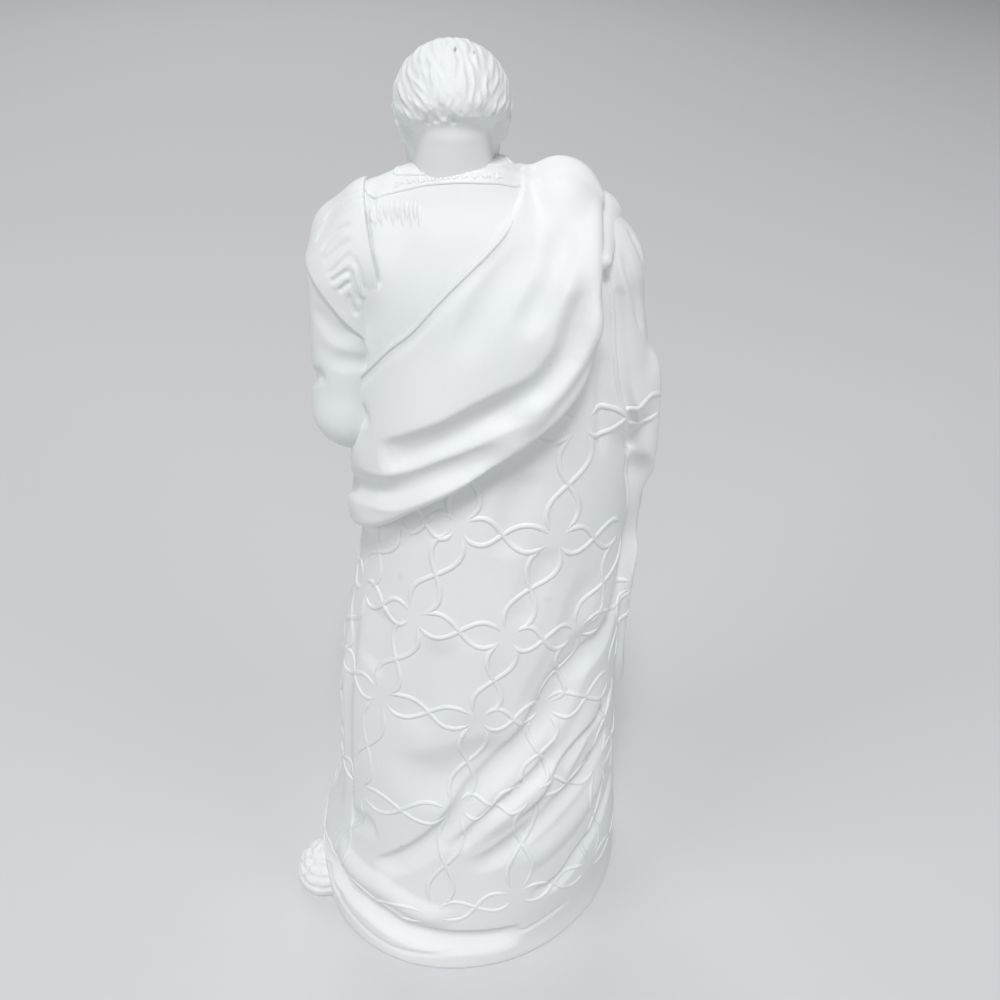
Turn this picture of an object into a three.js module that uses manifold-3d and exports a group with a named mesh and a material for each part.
// Porcelain wise man figurine: a robed, bearded man with a mantle over his right shoulder, who holds
// a small covered jar. The real figure is one hollow casting of matt white porcelain. It is built here
// as one closed solid with a flat underside.
// Millimetres, +Z up. The origin is the middle of the underside. The figure faces -Y, with its left
// hand towards +X. An angle round the body is in degrees from the middle of the back (+Y), positive
// towards the figure's left (+X), so 180 is the middle of the front.

import * as THREE from 'three';
import Module from 'manifold-3d';

// Driving dimensions

const HEAD = { centre: [2.7, -3, 214.6], turn: 10, bow: 20 };

// The clothed body: half-widths of its cross-section at each height. Each section is an oval a little
// fuller than an ellipse.
const SECTION_FULLNESS = 2.2;
const BODY_SECTIONS = [
  { z: -10, left: 45, right: 45.5, back: 44, front: 42 },
  { z: 0, left: 44.5, right: 45, back: 43, front: 41 },
  { z: 8, left: 44.8, right: 44.2, back: 41, front: 40 },
  { z: 20, left: 42.6, right: 42.5, back: 38.5, front: 38 },
  { z: 35, left: 37.6, right: 41, back: 36.5, front: 36 },
  { z: 54, left: 35.5, right: 39.3, back: 34.5, front: 34 },
  { z: 77, left: 34, right: 38, back: 31.5, front: 31 },
  { z: 99, left: 30.6, right: 37, back: 28.5, front: 28 },
  { z: 118, left: 26, right: 36.5, back: 25, front: 25 },
  { z: 135, left: 23.5, right: 36, back: 22.5, front: 22 },
  { z: 150, left: 22.5, right: 35, back: 20.5, front: 20 },
  { z: 170, left: 23, right: 32.5, back: 19, front: 18.5 },
  { z: 186, left: 21, right: 28, back: 17.5, front: 16.5 },
  { z: 197, left: 17, right: 21, back: 13.5, front: 13 },
  { z: 204, left: 12, right: 13, back: 9.5, front: 9.5 },
  { z: 210, left: 7, right: 7, back: 7, front: 7 },
];
const BODY_TOP = { z: 209, round: 2 };

// Round forms joined softly: a limb is a cone with round ends, a lump is an ellipsoid. The mantle lies
// over the first group, and the second group lies over the mantle.
const UNDER_MANTLE = [
  { name: 'left slope of the neck', from: [9, 0.5, 202.4], to: [16.5, 1, 198], radii: [6.2, 7.2], blend: 3 },
  { name: 'left shoulder', at: [17.5, 1, 190], radii: [11.2, 10.5, 11], blend: 4 },
  { name: 'right shoulder', at: [-20.5, 1, 190], radii: [13, 10.4, 11.5], blend: 4 },
  { name: 'right upper arm', from: [-23.6, 1, 187], to: [-29.4, 1, 162], radii: [10.6, 9.4], blend: 4 },
  { name: 'right forearm', from: [-29.4, 0, 161], to: [-12, -22, 164], radii: [8.6, 6], blend: 4 },
  { name: 'near shoulder fold', from: [-15.6, -7, 197], to: [-15.4, 2, 201.8], radii: [4.6, 4.8], blend: 2 },
  { name: 'outer shoulder fold', from: [-20.5, -7, 193], to: [-20.8, 2, 197.4], radii: [4.6, 4.6], blend: 2 },
];
const LEFT_ARM = [
  { name: 'left upper arm', from: [22.5, 1, 186], to: [24.2, 3, 158], radii: [9.4, 8.6], blend: 3 },
  { name: 'left forearm', from: [24.2, 3, 157.5], to: [12.5, -23, 164], radii: [8.4, 5.6], blend: 3 },
];
const OVER_MANTLE = [
  { name: 'neck', from: [2.4, 0.5, 200], to: [2.6, -2, 214], radii: [7.6, 7.2], blend: 1.2 },
  { name: 'left hand', at: [9, -27.5, 166.5], radii: [3.4, 6.2, 4.8], blend: 1.5 },
  { name: 'right hand', at: [-7.4, -27.5, 166.5], radii: [3.4, 6.2, 4.8], blend: 1.5 },
  { name: 'side slipper', at: [43, 12, 2], radii: [8.5, 9, 8], blend: 1 },
  { name: 'left slipper', from: [13, -33, 2.6], to: [15.8, -45, 1.2], radii: [6.2, 3.8], blend: 1 },
  { name: 'right slipper', from: [-11, -33, 2.6], to: [-13.8, -45, 1.2], radii: [6.2, 3.8], blend: 1 },
];
const BLENDS = { leftArm: 2, head: 1, band: 1.6 };

// The short sleeve over the left upper arm ends on a slanting edge.
const SHORT_SLEEVE = { thickness: 1.1, edgeHeight: 191, edgeAt: 32, edgeSlope: 1.17, round: 0.8 };

// Cloth laid round the body in bands, each between an upper and a lower edge at angles round the
// body. The right sleeve hangs from under the arm, and the other bands also lie over the arm. Above
// the armpits the angles are taken round a middle that moves away from the band, so that they also
// reach over the shoulder.
const ARMPIT_HEIGHT = 182;
const MANTLE = {
  side: 1,
  upperRound: 0.8,
  lowerRound: 3,
  upperThickness: 1.2,
  thickening: 22,
  sideLimit: -25.2,
  sideLimitTo: 60,
  stations: [
    { angle: -66, upper: 217, lower: 186, thickness: 4.5 },
    { angle: -58, upper: 217, lower: 180, thickness: 4.5 },
    { angle: -50, upper: 217, lower: 170, thickness: 5 },
    { angle: -38, upper: 217, lower: 164, thickness: 5.5 },
    { angle: -22, upper: 217, lower: 160, thickness: 5.5 },
    { angle: -18, upper: 208, lower: 159, thickness: 5.5 },
    { angle: -10, upper: 200.5, lower: 157.5, thickness: 5.5 },
    { angle: 3, upper: 193, lower: 155, thickness: 5.5 },
    { angle: 24, upper: 184.5, lower: 147, thickness: 5.5 },
    { angle: 41, upper: 179, lower: 140, thickness: 5 },
    { angle: 58, upper: 172, lower: 135, thickness: 4.5 },
    { angle: 90, upper: 160, lower: 126, thickness: 3.5 },
    { angle: 130, upper: 154, lower: 112, thickness: 4.5 },
    { angle: 180, upper: 152, lower: 98, thickness: 5 },
    { angle: 230, upper: 152, lower: 86, thickness: 5 },
    { angle: 262, upper: 150, lower: 80, thickness: 4 },
  ],
};
const CHEST_FALL = {
  side: -1,
  upperRound: 0.8,
  lowerRound: 3,
  upperThickness: 3.5,
  thickening: 20,
  sideLimit: -25.2,
  sideLimitTo: 0,
  stations: [
    { angle: -158, upper: 217, lower: 186, thickness: 3.5 },
    { angle: -154, upper: 217, lower: 174, thickness: 3.5 },
    { angle: -145, upper: 217, lower: 165, thickness: 4 },
    { angle: -115, upper: 217, lower: 158, thickness: 4 },
  ],
};
const RIGHT_SLEEVE = {
  side: 0,
  underArm: true,
  upperRound: 8,
  lowerRound: 3,
  upperThickness: 6.5,
  thickening: 90,
  stations: [
    { angle: -136, upper: 174, lower: 84, thickness: 3 },
    { angle: -115, upper: 174, lower: 68, thickness: 3 },
    { angle: -92, upper: 174, lower: 68, thickness: 2.5 },
    { angle: -83, upper: 174, lower: 80, thickness: 2.5 },
  ],
};
const BAND_END_ROUND = 2.5;
const SHOULDER_LAP = 3;
const BAND_REACH = { inside: -8, outside: 12 };

// Folds and creases along paths of [angle, height] on the body. A height above zero is a ridge, below
// zero a valley. Both ends fade out over a share of the length.
const FADE = 0.22;
const BACK_FOLDS = [
  { name: 'shoulder valley', path: [[-27, 207], [-27, 198], [-26, 192], [-20, 183]], width: 4, height: -1.6 },
  {
    name: 'shoulder-blade valley',
    path: [[-19, 201], [-13, 193], [-4, 187], [0, 180]],
    width: 4.5,
    height: -1.1,
  },
  {
    name: 'deep mantle valley',
    path: [
      [-38, 193], [-40, 184], [-37, 178], [-26, 174],
      [-13, 172], [2, 169], [17, 165], [34, 158], [50, 152],
    ],
    width: 5,
    height: -3.6,
  },
  {
    name: 'hem valley of the mantle',
    path: [[-30, 167], [-19, 165], [-8, 163], [8, 159.5], [22, 156], [38, 150], [54, 145]],
    width: 4,
    height: -2.8,
  },
  {
    name: 'ridge of the mantle hem',
    path: [[-44, 172], [-30, 166], [-12, 161], [8, 156], [28, 149]],
    width: 4,
    height: 0.8,
  },
  {
    name: 'long sweeping valley',
    path: [
      [-80, 146], [-80, 128], [-74, 112], [-62, 99], [-50, 84],
      [-38, 72], [-18, 62], [0, 51], [12, 43], [28, 34],
    ],
    width: 4.2,
    height: -2.4,
  },
  {
    name: 'sweeping ridge',
    path: [[-66, 92], [-54, 77], [-40, 67], [-18, 57], [2, 46]],
    width: 5,
    height: 1.6,
  },
  {
    name: 'second sweep',
    path: [[-66, 70], [-50, 66], [-35, 60], [-16, 52], [2, 43]],
    width: 3.4,
    height: -1.8,
  },
  {
    name: 'third sweep',
    path: [[-64, 63], [-46, 56], [-30, 50], [-14, 43], [6, 37]],
    width: 3.4,
    height: -1.8,
  },
  { name: 'low right crease', path: [[-72, 46], [-58, 35], [-46, 30], [-30, 26]], width: 3.6, height: -1.6 },
  {
    name: 'crease above the hem',
    path: [[70, 24], [60, 18.5], [48, 19], [36, 20], [26, 18.5], [15, 16], [3, 14.5], [-12, 14]],
    width: 4,
    height: -3,
  },
  {
    name: 'lip above the crease',
    path: [[66, 27], [50, 26], [34, 26.5], [18, 23], [2, 21]],
    width: 5,
    height: 1.6,
  },
  { name: 'sag at the left', path: [[62, 37], [48, 41], [36, 45], [28, 50]], width: 4, height: -1.2 },
  {
    name: 'soft fold of the skirt',
    path: [[-58, 124], [-46, 108], [-34, 94], [-20, 78]],
    width: 5,
    height: -0.9,
  },
];
const ARM_FOLDS = [
  { name: 'elbow fold', path: [[70, 170], [84, 164], [98, 162]], width: 3, height: -1 },
  { name: 'inner arm fold', path: [[58, 176], [62, 168], [64, 160]], width: 2.6, height: -1.2 },
  { name: 'sleeve fold', path: [[104, 168], [112, 163], [120, 159]], width: 3, height: -1 },
  {
    name: 'right sleeve edge',
    path: [[-58, 196], [-66, 184], [-72, 168], [-76, 150]],
    width: 2.6,
    height: -0.9,
  },
];
const WAIST_BUMPS = {
  angle: 74,
  back: 22,
  front: 18,
  slope: 1.5,
  heights: [143.5, 136.5],
  width: 5,
  height: 1.3,
};

// Hanging folds, spaced evenly between two angles. Every second one starts lower and is shallower.
const HANGING_FOLDS = [
  { from: 100, to: 232, count: 9, top: 96, foot: 6, lean: -4, width: 4.6, height: -2.4 },
  { from: -136, to: -90, count: 5, top: 150, foot: 78, lean: 5, width: 3, height: -1.5 },
  { from: -132, to: -84, count: 4, top: 58, foot: 6, lean: 6, width: 4, height: -1.6 },
  { from: 66, to: 92, count: 3, top: 112, foot: 30, lean: -6, width: 4, height: -1 },
];
const SECOND_FOLD = { startsLower: 0.25, depth: 0.7 };
const BEND_OF_LEAN = 0.2;

// Folds that sag across the front of the mantle, from the left hip to the right arm.
const APRON_FOLDS = {
  count: 4,
  top: 148,
  drop: 12,
  sag: 14,
  rise: 6,
  opening: 3,
  from: 98,
  to: 246,
  width: 4.4,
  height: -2.2,
};

const COLLAR = { centre: [2.5, -0.5], height: 207.2, tilt: 1.6, width: 2, raise: 0.9 };

// The head, in its own frame: the face looks along -Y, and the origin is at eye level, half-way
// between the crown and the chin.
const HEAD_FORMS = [
  { name: 'skull with hair', at: [0, 1.6, 3.4], radii: [10.9, 12, 11.6], blend: 1 },
  { name: 'face', at: [0, -4.6, -4], radii: [8.2, 7.8, 10.8], blend: 3 },
  { name: 'brow', at: [0, -9.9, 3], radii: [5.8, 2.2, 1.4], blend: 1.5 },
  { name: 'left eye', at: [3.4, -9.9, 0.1], radii: [1.7, 1.7, 1.1], blend: 0.6 },
  { name: 'right eye', at: [-3.4, -9.9, 0.1], radii: [1.7, 1.7, 1.1], blend: 0.6 },
  { name: 'nose', from: [0, -11.2, 1.8], to: [0, -13.4, -4.4], radii: [1, 1.5], blend: 0.9 },
  { name: 'left cheek', at: [4.4, -8.8, -4], radii: [2.8, 2.6, 2.6], blend: 1.5 },
  { name: 'right cheek', at: [-4.4, -8.8, -4], radii: [2.8, 2.6, 2.6], blend: 1.5 },
  { name: 'left moustache', from: [0.8, -12, -6.8], to: [5.4, -9.6, -10.4], radii: [1.5, 1], blend: 0.8 },
  { name: 'right moustache', from: [-0.8, -12, -6.8], to: [-5.4, -9.6, -10.4], radii: [1.5, 1], blend: 0.8 },
  { name: 'beard', from: [0, -6, -8.6], to: [0, -13.5, -15], radii: [8, 5.8], blend: 1.6 },
  { name: 'tip of the beard', from: [0, -13.5, -15], to: [0, -17.5, -22.5], radii: [5.8, 2], blend: 2 },
];

// Grooves between the locks of hair, round the back of the head from ear to ear, and of the beard.
const HAIR_LOCKS = {
  count: 13,
  from: -118,
  to: 118,
  crown: 68,
  nape: -22,
  wave: 7,
  width: 1.6,
  height: -0.75,
};
const LOCK_BENDS = [0.35, 0.7];
const BEARD_LOCKS = { count: 5, spread: 46, top: -38, foot: -62, pinch: [0.8, 0.9], width: 1.5, height: -0.7 };

const JAR = {
  axis: [1, -30.5],
  profile: [
    { z: 160, radius: 3.2 },
    { z: 161.4, radius: 4.4 },
    { z: 163, radius: 3.4 },
    { z: 166, radius: 6.2 },
    { z: 170, radius: 7.6 },
    { z: 173.6, radius: 6.8 },
    { z: 174.6, radius: 7.2 },
    { z: 176.5, radius: 5.6 },
    { z: 178.6, radius: 2.2 },
    { z: 180, radius: 1.3 },
    { z: 181.6, radius: 1.9 },
    { z: 183.2, radius: 0.4 },
  ],
  blend: 0.6,
};

// How finely the form is sampled, how far the steps are evened out, and the faces left at the end.
const SAMPLING = {
  low: [-50, -52, -6],
  high: [56, 48, 233],
  coarse: 1.5,
  fine: 0.8,
  fineZones: [[-13, 17], [-40, 13], [154, 233]],
};
const RELAXING = { rounds: 6, inward: 0.5, outward: 0.52 };
const FACE_BUDGET = 10200;

// Small maths

const NOTHING_NEAR = 50;
const TINY = 1e-6;
const softJoin = (a, b, blend) => {
  const overlap = Math.max(blend - Math.abs(a - b), 0) / blend;
  return Math.min(a, b) - overlap * overlap * blend * 0.25;
};
const softCut = (a, b, blend) => -softJoin(-a, -b, blend);
const mix = (a, b, share) => a + (b - a) * share;
const spread = (from, to, count) => (
  Array.from({ length: count }, (_, n) => mix(from, to, n / (count - 1)))
);
const smooth = (share) => {
  const t = Math.min(Math.max(share, 0), 1);
  return t * t * (3 - 2 * t);
};

// Values between stations, on a Catmull-Rom spline through them, kept in a table of small steps.
function tableBetween(stations, key, fields, step) {
  const keys = stations.map((station) => station[key]);
  const low = keys[0];
  const high = keys[keys.length - 1];
  const count = Math.ceil((high - low) / step) + 1;
  const last = count - 1 - TINY;
  const columns = fields.map((field) => {
    const values = stations.map((station) => station[field]);
    const slope = (i) => {
      const before = Math.max(i - 1, 0);
      const after = Math.min(i + 1, values.length - 1);
      return (values[after] - values[before]) / (keys[after] - keys[before]);
    };
    return Float64Array.from({ length: count }, (_, n) => {
      const at = Math.min(low + n * step, high);
      let i = 0;
      while (i < keys.length - 2 && at > keys[i + 1]) i += 1;
      const span = keys[i + 1] - keys[i];
      const t = (at - keys[i]) / span;
      const rise = (3 - 2 * t) * t * t;
      const bend = span * t * (1 - t) * (slope(i) * (1 - t) - slope(i + 1) * t);
      return mix(values[i], values[i + 1], rise) + bend;
    });
  });
  return (column, at) => {
    const place = Math.min(Math.max((at - low) / step, 0), last);
    const n = Math.floor(place);
    return mix(columns[column][n], columns[column][n + 1], place - n);
  };
}

// The form as a field: a signed distance in millimetres, negative inside the solid

const TABLE_STEP = 0.5;
const bodySection = tableBetween(BODY_SECTIONS, 'z', ['left', 'right', 'back', 'front'], TABLE_STEP);
const [LEFT, RIGHT, BACK, FRONT] = [0, 1, 2, 3];

function bodyRadius(x, y, z) {
  const reach = Math.hypot(x, y) || TINY;
  const across = Math.abs(x) / reach / bodySection(x > 0 ? LEFT : RIGHT, z);
  const along = Math.abs(y) / reach / bodySection(y > 0 ? BACK : FRONT, z);
  return (across ** SECTION_FULLNESS + along ** SECTION_FULLNESS) ** (-1 / SECTION_FULLNESS);
}

function limb({ from, to, radii }) {
  const axis = [to[0] - from[0], to[1] - from[1], to[2] - from[2]];
  const lengthSquared = axis[0] ** 2 + axis[1] ** 2 + axis[2] ** 2;
  return (x, y, z) => {
    const [u, v, w] = [x - from[0], y - from[1], z - from[2]];
    const along = (u * axis[0] + v * axis[1] + w * axis[2]) / lengthSquared;
    const t = Math.min(Math.max(along, 0), 1);
    return Math.hypot(u - axis[0] * t, v - axis[1] * t, w - axis[2] * t) - mix(radii[0], radii[1], t);
  };
}

function lump({ at, radii }) {
  return (x, y, z) => {
    const u = (x - at[0]) / radii[0];
    const v = (y - at[1]) / radii[1];
    const w = (z - at[2]) / radii[2];
    const scaled = Math.hypot(u, v, w);
    const slope = Math.hypot(u / radii[0], v / radii[1], w / radii[2]) || TINY;
    return scaled * (scaled - 1) / slope;
  };
}

const shapeOf = (form) => (form.from ? limb(form) : lump(form));

// A band of cloth: the layer outside the body between the band's two edges. The distances to the edges
// are taken on the band laid flat.
const FLAT_RADIUS = 26;
const EDGE_STEP = 3;
const WRAP_MARGIN = 20;

function band(cloth) {
  const { side, stations, upperRound, lowerRound, upperThickness, thickening, sideLimit, sideLimitTo } = cloth;
  const table = tableBetween(stations, 'angle', ['upper', 'lower', 'thickness'], TABLE_STEP);
  const start = stations[0].angle;
  const end = stations[stations.length - 1].angle;
  const perDegree = THREE.MathUtils.degToRad(FLAT_RADIUS);
  const outlines = [0, 1].map((column) => {
    const count = Math.ceil((end - start) / EDGE_STEP);
    return spread(start, end, count + 1).map((angle) => [angle * perDegree, table(column, angle)]);
  });
  const fromEdge = (outline, flat, z) => {
    let nearest = Infinity;
    for (let n = 0; n < outline.length - 1; n += 1) {
      const [p, q] = [outline[n], outline[n + 1]];
      const [du, dz] = [q[0] - p[0], q[1] - p[1]];
      const share = ((flat - p[0]) * du + (z - p[1]) * dz) / (du * du + dz * dz);
      const t = Math.min(Math.max(share, 0), 1);
      nearest = Math.min(nearest, (flat - p[0] - du * t) ** 2 + (z - p[1] - dz * t) ** 2);
    }
    return Math.sqrt(nearest);
  };
  return (x, y, z, body) => {
    if (body < BAND_REACH.inside || body > BAND_REACH.outside) return body;
    const shift = side * Math.max(z - ARMPIT_HEIGHT, 0);
    let angle = THREE.MathUtils.radToDeg(Math.atan2(x, y + shift));
    if (angle < start - WRAP_MARGIN) angle += 360;
    const at = Math.min(Math.max(angle, start), end);
    const flat = angle * perDegree;
    const below = fromEdge(outlines[0], flat, z) * Math.sign(table(0, at) - z);
    const above = fromEdge(outlines[1], flat, z) * Math.sign(z - table(1, at));
    let outside = Math.max(start - angle, angle - end) * perDegree;
    if (sideLimit && angle < sideLimitTo) outside = Math.max(outside, sideLimit - x);
    if (z > ARMPIT_HEIGHT) outside = Math.max(outside, -side * y - SHOULDER_LAP);
    const thickness = mix(upperThickness, table(2, at), smooth(below / thickening));
    const layer = softCut(softCut(body - thickness, -below, upperRound), -above, lowerRound);
    return softCut(layer, outside, BAND_END_ROUND);
  };
}

// A turned form round an upright axis, from its profile. The profile is steep, so its distance is
// taken a little short.
const STEEP_PROFILE = 0.8;

function turned({ axis, profile }) {
  const outline = tableBetween(profile, 'z', ['radius'], TABLE_STEP);
  const foot = profile[0].z;
  const top = profile[profile.length - 1].z;
  return (x, y, z) => {
    const beyond = Math.max(foot - z, z - top);
    const side = Math.hypot(x - axis[0], y - axis[1]) - outline(0, z);
    return Math.max(side * STEEP_PROFILE, beyond);
  };
}

const headTurn = new THREE.Matrix4()
  .makeRotationZ(THREE.MathUtils.degToRad(HEAD.turn))
  .multiply(new THREE.Matrix4().makeRotationX(THREE.MathUtils.degToRad(HEAD.bow)));
const toHead = new THREE.Matrix4()
  .makeTranslation(...HEAD.centre)
  .multiply(headTurn)
  .invert();

const shapesOf = (forms) => forms.map((form) => ({ distance: shapeOf(form), blend: form.blend }));
const underMantle = shapesOf(UNDER_MANTLE);
const leftArm = shapesOf(LEFT_ARM);
const overMantle = shapesOf(OVER_MANTLE);
const headForms = shapesOf(HEAD_FORMS);
const bands = [MANTLE, CHEST_FALL, RIGHT_SLEEVE].map((cloth) => (
  { underArm: cloth.underArm, layer: band(cloth) }
));
const jar = turned(JAR);

const joinAll = (start, shapes, x, y, z) => shapes.reduce(
  (field, shape) => softJoin(field, shape.distance(x, y, z), shape.blend),
  start,
);

function headField(x, y, z) {
  const e = toHead.elements;
  const u = e[0] * x + e[4] * y + e[8] * z + e[12];
  const v = e[1] * x + e[5] * y + e[9] * z + e[13];
  const w = e[2] * x + e[6] * y + e[10] * z + e[14];
  return joinAll(NOTHING_NEAR, headForms, u, v, w);
}

function leftArmField(x, y, z) {
  const arm = joinAll(NOTHING_NEAR, leftArm, x, y, z);
  const { thickness, edgeHeight, edgeAt, edgeSlope, round } = SHORT_SLEEVE;
  const belowEdge = (edgeHeight + (x - edgeAt) * edgeSlope - z) / Math.hypot(1, edgeSlope);
  return Math.min(arm, softCut(arm - thickness, belowEdge, round));
}

const HEAD_ZONE = { z: 180 };
const JAR_ZONE = { y: -10, z: 155 };

function form(x, y, z) {
  const trunk = softCut(Math.hypot(x, y) - bodyRadius(x, y, z), z - BODY_TOP.z, BODY_TOP.round);
  const body = joinAll(trunk, underMantle, x, y, z);
  let field = body;
  bands.forEach(({ underArm, layer }) => {
    field = softJoin(field, layer(x, y, z, underArm ? trunk : body), BLENDS.band);
  });
  field = softJoin(field, leftArmField(x, y, z), BLENDS.leftArm);
  field = joinAll(field, overMantle, x, y, z);
  if (z > HEAD_ZONE.z) field = softJoin(field, headField(x, y, z), BLENDS.head);
  if (y < JAR_ZONE.y && z > JAR_ZONE.z) field = softJoin(field, jar(x, y, z), JAR.blend);
  return field;
}

// The form with its slope evened out, so that a depth added to it is a depth in millimetres.
const SLOPE = { step: 0.4, least: 0.5, most: 4 };

function evenField(x, y, z, reach) {
  const value = form(x, y, z);
  if (Math.abs(value) > reach) return value;
  const { step, least, most } = SLOPE;
  const rises = [form(x + step, y, z), form(x, y + step, z), form(x, y, z + step)].map((near) => near - value);
  return value / Math.min(Math.max(Math.hypot(...rises) / step, least), most);
}

// Folds and locks, as paths laid on the form

// The point where a ray going outwards leaves the form: one step too far, then halved.
const RAY = { step: 1, halvings: 8, body: 75, head: 26 };

function surfacePoint(from, direction, reach) {
  const at = (t) => [0, 1, 2].map((axis) => from[axis] + direction[axis] * t);
  let outer = reach;
  while (outer > 0 && form(...at(outer)) > 0) outer -= RAY.step;
  let [low, high] = [outer, outer + RAY.step];
  for (let n = 0; n < RAY.halvings; n += 1) {
    const middle = (low + high) / 2;
    if (form(...at(middle)) > 0) high = middle;
    else low = middle;
  }
  return new THREE.Vector3(...at(high));
}

function outwards(angle) {
  const turn = THREE.MathUtils.degToRad(angle);
  return [Math.sin(turn), Math.cos(turn), 0];
}

function onBody([angle, height]) {
  const direction = outwards(angle);
  const shift = Math.sign(direction[1]) * Math.max(height - ARMPIT_HEIGHT, 0);
  return surfacePoint([0, -shift, height], direction, RAY.body);
}

const onNeck = ([angle, height]) => surfacePoint([...COLLAR.centre, height], outwards(angle), RAY.head);

// On the head, an angle round it from the back and an angle above the level of the eyes.
function onHead([angle, rise]) {
  const lift = THREE.MathUtils.degToRad(rise);
  const [across, along] = outwards(angle).map((part) => part * Math.cos(lift));
  const local = new THREE.Vector3(across, along, Math.sin(lift));
  return surfacePoint(HEAD.centre, local.transformDirection(headTurn).toArray(), RAY.head);
}

const STROKE_PIECE = 3;
const STROKE_PIECES = 6;

function stroke({ path, width, height, fade = FADE }, place) {
  const curve = new THREE.CatmullRomCurve3(path.map(place), false, 'centripetal');
  const count = Math.max(STROKE_PIECES, Math.ceil(curve.getLength() / STROKE_PIECE));
  const points = curve.getSpacedPoints(count);
  const box = new THREE.Box3().setFromPoints(points).expandByScalar(width);
  const { min, max } = box;
  return (x, y, z) => {
    if (x < min.x || x > max.x || y < min.y || y > max.y || z < min.z || z > max.z) return 0;
    let nearest = width * width;
    let along = 0;
    for (let n = 0; n < count; n += 1) {
      const [p, q] = [points[n], points[n + 1]];
      const [dx, dy, dz] = [q.x - p.x, q.y - p.y, q.z - p.z];
      const share = ((x - p.x) * dx + (y - p.y) * dy + (z - p.z) * dz) / (dx * dx + dy * dy + dz * dz);
      const t = Math.min(Math.max(share, 0), 1);
      const away = (x - p.x - dx * t) ** 2 + (y - p.y - dy * t) ** 2 + (z - p.z - dz * t) ** 2;
      if (away < nearest) {
        nearest = away;
        along = (n + t) / count;
      }
    }
    const bell = (1 - nearest / (width * width)) ** 2;
    const ends = fade > 0 ? smooth(Math.min(along, 1 - along) / fade) : 1;
    return height * bell * ends;
  };
}

const hangingFolds = HANGING_FOLDS.flatMap(({ from, to, count, top, foot, lean, width, height }) => (
  spread(from, to, count).map((angle, n) => {
    const isFirst = n % 2 === 0;
    const start = isFirst ? top : mix(top, foot, SECOND_FOLD.startsLower);
    const bend = [angle + lean * BEND_OF_LEAN, (start + foot) / 2];
    const path = [[angle, start], bend, [angle + lean, foot]];
    return { path, width, height: height * (isFirst ? 1 : SECOND_FOLD.depth) };
  })
));

const apronFolds = spread(0, APRON_FOLDS.count - 1, APRON_FOLDS.count).map((n) => {
  const { top, drop, sag, rise, opening, from, to, width, height } = APRON_FOLDS;
  const path = spread(0, 1, 5).map((t) => {
    const level = mix(top - drop * n, top - drop * n - opening * n + rise, t);
    return [mix(from, to, t), level - sag * 4 * t * (1 - t)];
  });
  return { path, width, height };
});

const waistBumps = WAIST_BUMPS.heights.map((level) => {
  const { angle, back, front, slope, width, height } = WAIST_BUMPS;
  const path = [[angle - back, level + slope], [angle, level], [angle + front, level - slope]];
  return { path, width, height };
});

const collar = {
  path: spread(-180, 180, 19).map((angle) => [angle, COLLAR.height + COLLAR.tilt * outwards(angle)[1]]),
  width: COLLAR.width,
  height: COLLAR.raise,
  fade: 0,
};

const hairLocks = spread(HAIR_LOCKS.from, HAIR_LOCKS.to, HAIR_LOCKS.count).map((angle, n) => {
  const { crown, nape, wave, width, height } = HAIR_LOCKS;
  const bend = n % 2 === 0 ? wave : -wave;
  const [upper, lower] = LOCK_BENDS.map((share) => mix(crown, nape, share));
  const path = [[angle, crown], [angle + bend, upper], [angle - bend, lower], [angle, nape]];
  return { path, width, height };
});

const beardLocks = spread(-1, 1, BEARD_LOCKS.count).map((side) => {
  const { spread: reach, top, foot, pinch, width, height } = BEARD_LOCKS;
  const angles = [1, ...pinch].map((share) => 180 + side * reach * share);
  const rises = [top, (top + foot) / 2, foot];
  return { path: angles.map((angle, n) => [angle, rises[n]]), width, height };
});

const bodyFolds = [...BACK_FOLDS, ...ARM_FOLDS, ...hangingFolds, ...apronFolds, ...waistBumps];
const strokes = [
  ...bodyFolds.map((fold) => stroke(fold, onBody)),
  stroke(collar, onNeck),
  ...[...hairLocks, ...beardLocks].map((fold) => stroke(fold, onHead)),
];

const STROKE_REACH = 6;

function figureField(x, y, z) {
  const base = evenField(x, y, z, STROKE_REACH);
  if (Math.abs(base) > STROKE_REACH) return base;
  return strokes.reduce((field, fold) => field - fold(x, y, z), base);
}

// Turning the field into a mesh, by cutting each cell of a grid into six tetrahedra

function ticks(axis) {
  const [low, high] = [SAMPLING.low[axis], SAMPLING.high[axis]];
  const [zoneLow, zoneHigh] = SAMPLING.fineZones[axis];
  const places = [low];
  while (places[places.length - 1] < high) {
    const at = places[places.length - 1];
    places.push(at + (at >= zoneLow && at < zoneHigh ? SAMPLING.fine : SAMPLING.coarse));
  }
  return places;
}

const STEP_CODES = [1, 2, 4];
const TETRAHEDRA = [[0, 1, 2], [1, 2, 0], [2, 0, 1], [0, 2, 1], [2, 1, 0], [1, 0, 2]].map((order, n) => {
  const corners = [0];
  order.forEach((axis) => corners.push(corners[corners.length - 1] + STEP_CODES[axis]));
  return { corners, mirrored: n > 2 };
});

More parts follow.
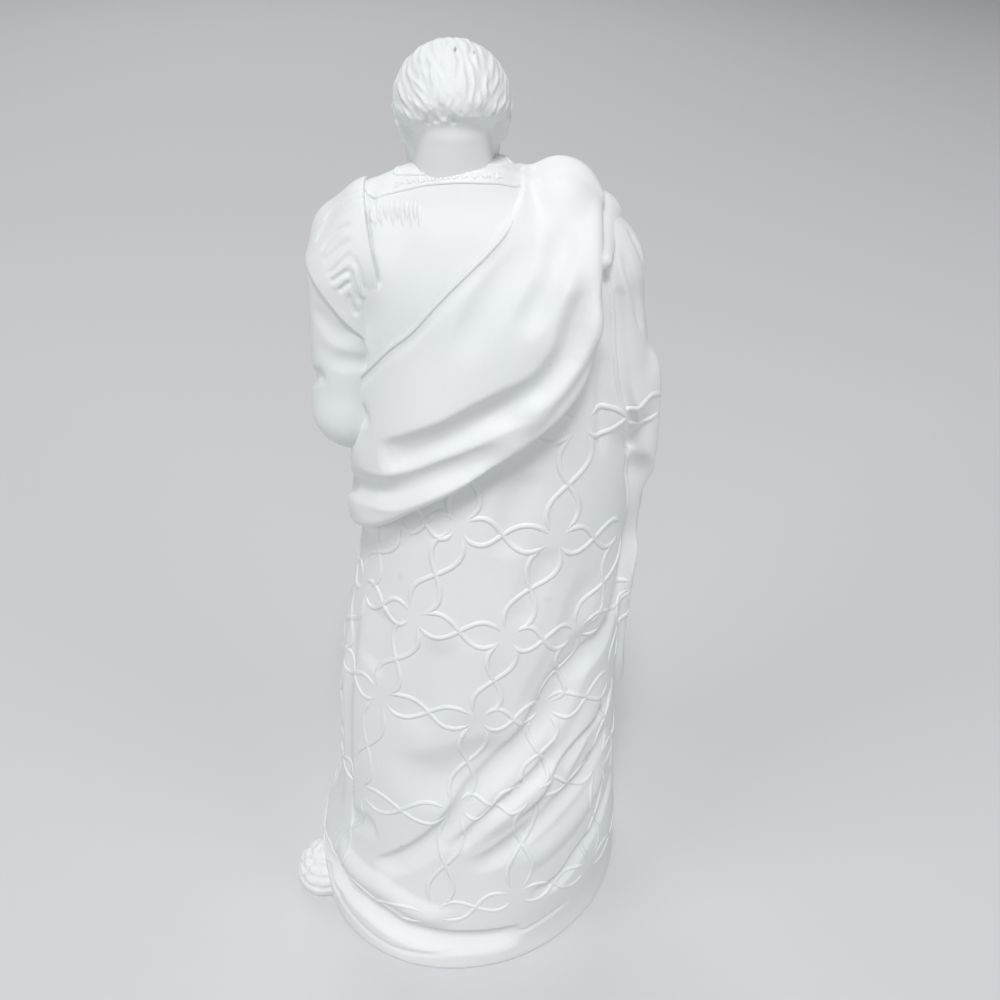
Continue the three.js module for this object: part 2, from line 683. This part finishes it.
// The triangles for each set of corners that lies inside, as pairs of corners whose edges they cut.
const CUTS = Array.from({ length: 16 }, (_, mask) => {
  const order = {
    1: [0, 1, 2, 3], 2: [1, 0, 3, 2], 4: [2, 3, 0, 1], 8: [3, 2, 1, 0],
    14: [0, 1, 2, 3], 13: [1, 0, 3, 2], 11: [2, 3, 0, 1], 7: [3, 2, 1, 0],
    3: [0, 1, 2, 3], 5: [0, 2, 3, 1], 9: [0, 3, 1, 2], 6: [1, 2, 0, 3], 10: [1, 3, 2, 0], 12: [2, 3, 0, 1],
  }[mask];
  if (!order) return [];
  const [i, j, k, l] = order;
  const inside = [0, 1, 2, 3].filter((corner) => mask & (1 << corner)).length;
  if (inside === 1) return [[[i, j], [i, k], [i, l]]];
  if (inside === 3) return [[[i, j], [i, l], [i, k]]];
  return [[[i, k], [i, l], [j, l]], [[i, k], [j, l], [j, k]]];
});

const KEEP_FROM_CORNER = 0.03;

function meshField(field) {
  const [xs, ys, zs] = [0, 1, 2].map(ticks);
  const [nx, ny, nz] = [xs.length, ys.length, zs.length];
  const values = new Float32Array(nx * ny * nz);
  const offsets = Array.from({ length: 8 }, (_, code) => (
    (code & 1) + nx * ((code >> 1) & 1) + nx * ny * (code >> 2)
  ));
  const cellOf = (n) => [n % nx, Math.floor(n / nx) % ny, Math.floor(n / (nx * ny))];
  const place = (n) => {
    const [i, j, k] = cellOf(n);
    return [xs[i], ys[j], zs[k]];
  };
  const atEdge = ([i, j, k]) => i * j * k === 0 || i === nx - 1 || j === ny - 1 || k === nz - 1;
  for (let n = 0; n < values.length; n += 1) {
    values[n] = atEdge(cellOf(n)) ? 1 : field(...place(n)) || TINY;
  }
  const points = [];
  const faces = [];
  const known = new Map();
  const cutPoint = (n, a, b) => {
    const [low, high] = a < b ? [a, b] : [b, a];
    const start = n + offsets[low];
    const key = start * 8 + (high - low);
    let index = known.get(key);
    if (index === undefined) {
      index = points.length / 3;
      known.set(key, index);
      const from = place(start);
      const to = place(n + offsets[high]);
      const share = values[start] / (values[start] - values[n + offsets[high]]);
      const t = Math.min(Math.max(share, KEEP_FROM_CORNER), 1 - KEEP_FROM_CORNER);
      points.push(mix(from[0], to[0], t), mix(from[1], to[1], t), mix(from[2], to[2], t));
    }
    return index;
  };
  for (let k = 0; k < nz - 1; k += 1) {
    for (let j = 0; j < ny - 1; j += 1) {
      for (let i = 0; i < nx - 1; i += 1) {
        const n = i + nx * (j + ny * k);
        let below = 0;
        for (let code = 0; code < 8; code += 1) below += values[n + offsets[code]] < 0 ? 1 : 0;
        if (below === 0 || below === 8) continue;
        TETRAHEDRA.forEach(({ corners, mirrored }) => {
          let mask = 0;
          corners.forEach((code, c) => {
            if (values[n + offsets[code]] < 0) mask |= 1 << c;
          });
          CUTS[mask].forEach((triangle) => {
            const [a, b, c] = triangle.map(([p, q]) => cutPoint(n, corners[p], corners[q]));
            faces.push(...(mirrored ? [a, c, b] : [a, b, c]));
          });
        });
      }
    }
  }
  return { points, faces };
}

// Evens out the steps that the grid leaves, without shrinking the form.
function relax({ points, faces }, { rounds, inward, outward }) {
  let places = Float64Array.from(points);
  for (let round = 0; round < rounds * 2; round += 1) {
    const sums = new Float64Array(places.length);
    const counts = new Int32Array(places.length / 3);
    for (let f = 0; f < faces.length; f += 3) {
      for (let c = 0; c < 3; c += 1) {
        const [p, q] = [faces[f + c], faces[f + ((c + 1) % 3)]];
        counts[p] += 1;
        for (let axis = 0; axis < 3; axis += 1) sums[p * 3 + axis] += places[q * 3 + axis];
      }
    }
    const share = round % 2 === 0 ? inward : -outward;
    places = places.map((value, n) => {
      const count = counts[Math.floor(n / 3)];
      return count > 0 ? mix(value, sums[n] / count, share) : value;
    });
  }
  return { points: places, faces };
}

// The largest connected surface alone, which drops any pocket closed off inside.
function largestSurface({ points, faces }) {
  const parent = Int32Array.from({ length: points.length / 3 }, (_, n) => n);
  const root = (n) => {
    while (parent[n] !== n) {
      parent[n] = parent[parent[n]];
      n = parent[n];
    }
    return n;
  };
  for (let f = 0; f < faces.length; f += 3) {
    parent[root(faces[f])] = root(faces[f + 1]);
    parent[root(faces[f + 1])] = root(faces[f + 2]);
  }
  const sizes = new Map();
  for (let f = 0; f < faces.length; f += 3) sizes.set(root(faces[f]), (sizes.get(root(faces[f])) || 0) + 1);
  const best = [...sizes].sort((a, b) => b[1] - a[1])[0][0];
  const kept = [];
  for (let f = 0; f < faces.length; f += 3) {
    if (root(faces[f]) === best) kept.push(faces[f], faces[f + 1], faces[f + 2]);
  }
  return { points, faces: kept };
}

// Fewer triangles: edges are closed up one by one, the least change of form first

// A binary heap of entries by price.
class PriceHeap {
  constructor() {
    this.entries = [];
  }

  push(entry) {
    const { entries } = this;
    let n = entries.length;
    entries.push(entry);
    while (n > 0) {
      const up = (n - 1) >> 1;
      if (entries[up].price <= entry.price) break;
      entries[n] = entries[up];
      n = up;
    }
    entries[n] = entry;
  }

  pop() {
    const { entries } = this;
    const top = entries[0];
    const entry = entries.pop();
    const { length } = entries;
    let n = 0;
    while (length > 0) {
      let down = 2 * n + 1;
      if (down + 1 < length && entries[down + 1].price < entries[down].price) down += 1;
      if (down >= length || entries[down].price >= entry.price) break;
      entries[n] = entries[down];
      n = down;
    }
    if (length > 0) entries[n] = entry;
    return top;
  }
}

// A quadric is the sum of squared distances to planes, as ten numbers.
const QUADRIC_SIZE = 10;
const MOST_TURN = 0.3;
const HOLD_TO_MIDDLE = 1e-4;
const SHORT_EDGES_FIRST = 1e-5;
const FARTHEST_PLACE = 1.5;
const NO_AREA = 1e-9;

class Simplifier {
  constructor({ points, faces }) {
    this.place = Float64Array.from(points);
    this.corner = Int32Array.from(faces);
    this.faceCount = faces.length / 3;
    const pointCount = points.length / 3;
    this.quadric = new Float64Array(pointCount * QUADRIC_SIZE);
    this.around = Array.from({ length: pointCount }, () => []);
    this.changes = new Int32Array(pointCount);
    this.heap = new PriceHeap();
    for (let f = 0; f < this.faceCount; f += 1) this.addFace(f);
    for (let u = 0; u < pointCount; u += 1) {
      this.neighbours(u).forEach((v) => {
        if (u < v) this.offer(u, v);
      });
    }
  }

  at(p) {
    return new THREE.Vector3().fromArray(this.place, p * 3);
  }

  cornersOf(f) {
    return [this.corner[f * 3], this.corner[f * 3 + 1], this.corner[f * 3 + 2]];
  }

  // The direction of a triangle, as long as twice its area.
  facing(a, b, c) {
    return b.clone().sub(a).cross(c.clone().sub(a));
  }

  addFace(f) {
    const corners = this.cornersOf(f);
    const [a, b, c] = corners.map((p) => this.at(p));
    const normal = this.facing(a, b, c);
    const size = normal.length();
    corners.forEach((p) => this.around[p].push(f));
    if (size < NO_AREA) return;
    const { x, y, z } = normal.divideScalar(size);
    const d = -normal.dot(a);
    const terms = [x * x, x * y, x * z, x * d, y * y, y * z, y * d, z * z, z * d, d * d];
    corners.forEach((p) => {
      terms.forEach((term, n) => {
        this.quadric[p * QUADRIC_SIZE + n] += term * size;
      });
    });
  }

  // Where the two ends of an edge would best meet, and how far that leaves the planes round them.
  bestPlace(u, v) {
    const [from, to] = [u, v].map((p) => p * QUADRIC_SIZE);
    const q = Array.from({ length: QUADRIC_SIZE }, (_, n) => this.quadric[from + n] + this.quadric[to + n]);
    const [a, b] = [this.at(u), this.at(v)];
    const span = a.distanceTo(b);
    const middle = a.add(b).divideScalar(2);
    const hold = HOLD_TO_MIDDLE * (q[0] + q[4] + q[7]) + NO_AREA;
    const planes = new THREE.Matrix3();
    planes.set(q[0] + hold, q[1], q[2], q[1], q[4] + hold, q[5], q[2], q[5], q[7] + hold);
    const pull = middle.clone().multiplyScalar(hold).sub(new THREE.Vector3(q[3], q[6], q[8]));
    const found = pull.applyMatrix3(planes.invert());
    const chosen = found.distanceTo(middle) < span * FARTHEST_PLACE ? found : middle;
    const { x, y, z } = chosen;
    const squares = q[0] * x * x + q[4] * y * y + q[7] * z * z + q[9];
    const products = q[1] * x * y + q[2] * x * z + q[5] * y * z + q[3] * x + q[6] * y + q[8] * z;
    return { chosen, price: Math.max(squares + 2 * products, 0) + SHORT_EDGES_FIRST * span * span };
  }

  offer(u, v) {
    this.heap.push({ u, v, ...this.bestPlace(u, v), known: [this.changes[u], this.changes[v]] });
  }

  isStale({ u, v, known }) {
    return known[0] !== this.changes[u] || known[1] !== this.changes[v];
  }

  neighbours(u) {
    const found = new Set(this.around[u].flatMap((f) => this.cornersOf(f)));
    found.delete(u);
    return found;
  }

  // Whether moving a point would turn one of its faces over, or squash it.
  turnsOver(u, other, target) {
    return this.around[u].some((f) => {
      const corners = this.cornersOf(f);
      if (corners.includes(other)) return false;
      const before = this.facing(...corners.map((p) => this.at(p)));
      const after = this.facing(...corners.map((p) => (p === u ? target : this.at(p))));
      return after.length() < TINY || before.dot(after) < MOST_TURN * before.length() * after.length();
    });
  }

  // An edge may close when its two faces are all that its ends share, and no face turns over.
  canClose({ u, v, chosen }) {
    const [nearU, nearV] = [this.neighbours(u), this.neighbours(v)];
    if (!nearU.has(v) || [...nearU].filter((n) => nearV.has(n)).length !== 2) return false;
    return !this.turnsOver(u, v, chosen) && !this.turnsOver(v, u, chosen);
  }

  // Moves the edge's first end to the chosen place and gives it the faces of the second end.
  close({ u, v, chosen }) {
    chosen.toArray(this.place, u * 3);
    for (let n = 0; n < QUADRIC_SIZE; n += 1) {
      this.quadric[u * QUADRIC_SIZE + n] += this.quadric[v * QUADRIC_SIZE + n];
    }
    this.around[v].forEach((f) => {
      const corners = this.cornersOf(f);
      if (corners.includes(u)) {
        corners.filter((p) => p !== v).forEach((p) => {
          this.around[p] = this.around[p].filter((g) => g !== f);
        });
        this.faceCount -= 1;
      } else {
        this.corner[f * 3 + corners.indexOf(v)] = u;
        this.around[u].push(f);
      }
    });
    this.around[v] = [];
    this.changes[u] += 1;
    this.changes[v] += 1;
    this.neighbours(u).forEach((n) => this.offer(u, n));
  }

  reduceTo(budget) {
    while (this.faceCount > budget && this.heap.entries.length > 0) {
      const edge = this.heap.pop();
      if (!this.isStale(edge) && this.canClose(edge)) this.close(edge);
    }
    return this.result();
  }

  result() {
    const points = [];
    const known = new Map();
    const faces = [...new Set(this.around.flat())].flatMap((f) => this.cornersOf(f).map((p) => {
      if (!known.has(p)) {
        known.set(p, points.length / 3);
        points.push(...this.at(p).toArray());
      }
      return known.get(p);
    }));
    return { points, faces };
  }
}

// Making the solid

const wasm = await Module();
wasm.setup();
const { Manifold, Mesh } = wasm;

function solidFrom({ points, faces }) {
  return new Manifold(new Mesh({
    numProp: 3,
    vertProperties: Float32Array.from(points),
    triVerts: Uint32Array.from(faces),
  }));
}

function boxSolid(width, depth, height, z) {
  const box = new THREE.BoxGeometry(width, depth, height).translate(0, 0, z + height / 2);
  const at = box.getAttribute('position');
  const known = new Map();
  const points = [];
  const faces = Array.from(box.getIndex().array, (n) => {
    const key = [at.getX(n), at.getY(n), at.getZ(n)].join();
    if (!known.has(key)) {
      known.set(key, points.length / 3);
      points.push(at.getX(n), at.getY(n), at.getZ(n));
    }
    return known.get(key);
  });
  return solidFrom({ points, faces });
}

function geometryFrom(solid) {
  const mesh = solid.getMesh();
  const geometry = new THREE.BufferGeometry();
  geometry.setAttribute('position', new THREE.BufferAttribute(mesh.vertProperties, 3));
  geometry.setIndex(new THREE.BufferAttribute(mesh.triVerts, 1));
  geometry.computeVertexNormals();
  return geometry;
}

const GROUND_BLOCK = { width: 200, depth: 200, height: 40 };

function makeFigure() {
  const rough = largestSurface(meshField(figureField));
  const body = solidFrom(new Simplifier(relax(rough, RELAXING)).reduceTo(FACE_BUDGET));
  const { width, depth, height } = GROUND_BLOCK;
  return geometryFrom(body.subtract(boxSolid(width, depth, height, -height)));
}

const bisque = new THREE.MeshStandardMaterial({ color: 0xe9edeb, roughness: 0.75, metalness: 0 });
const figure = new THREE.Mesh(makeFigure(), bisque);
figure.name = 'wise_man_figurine';

const group = new THREE.Group();
group.add(figure);

export default group;
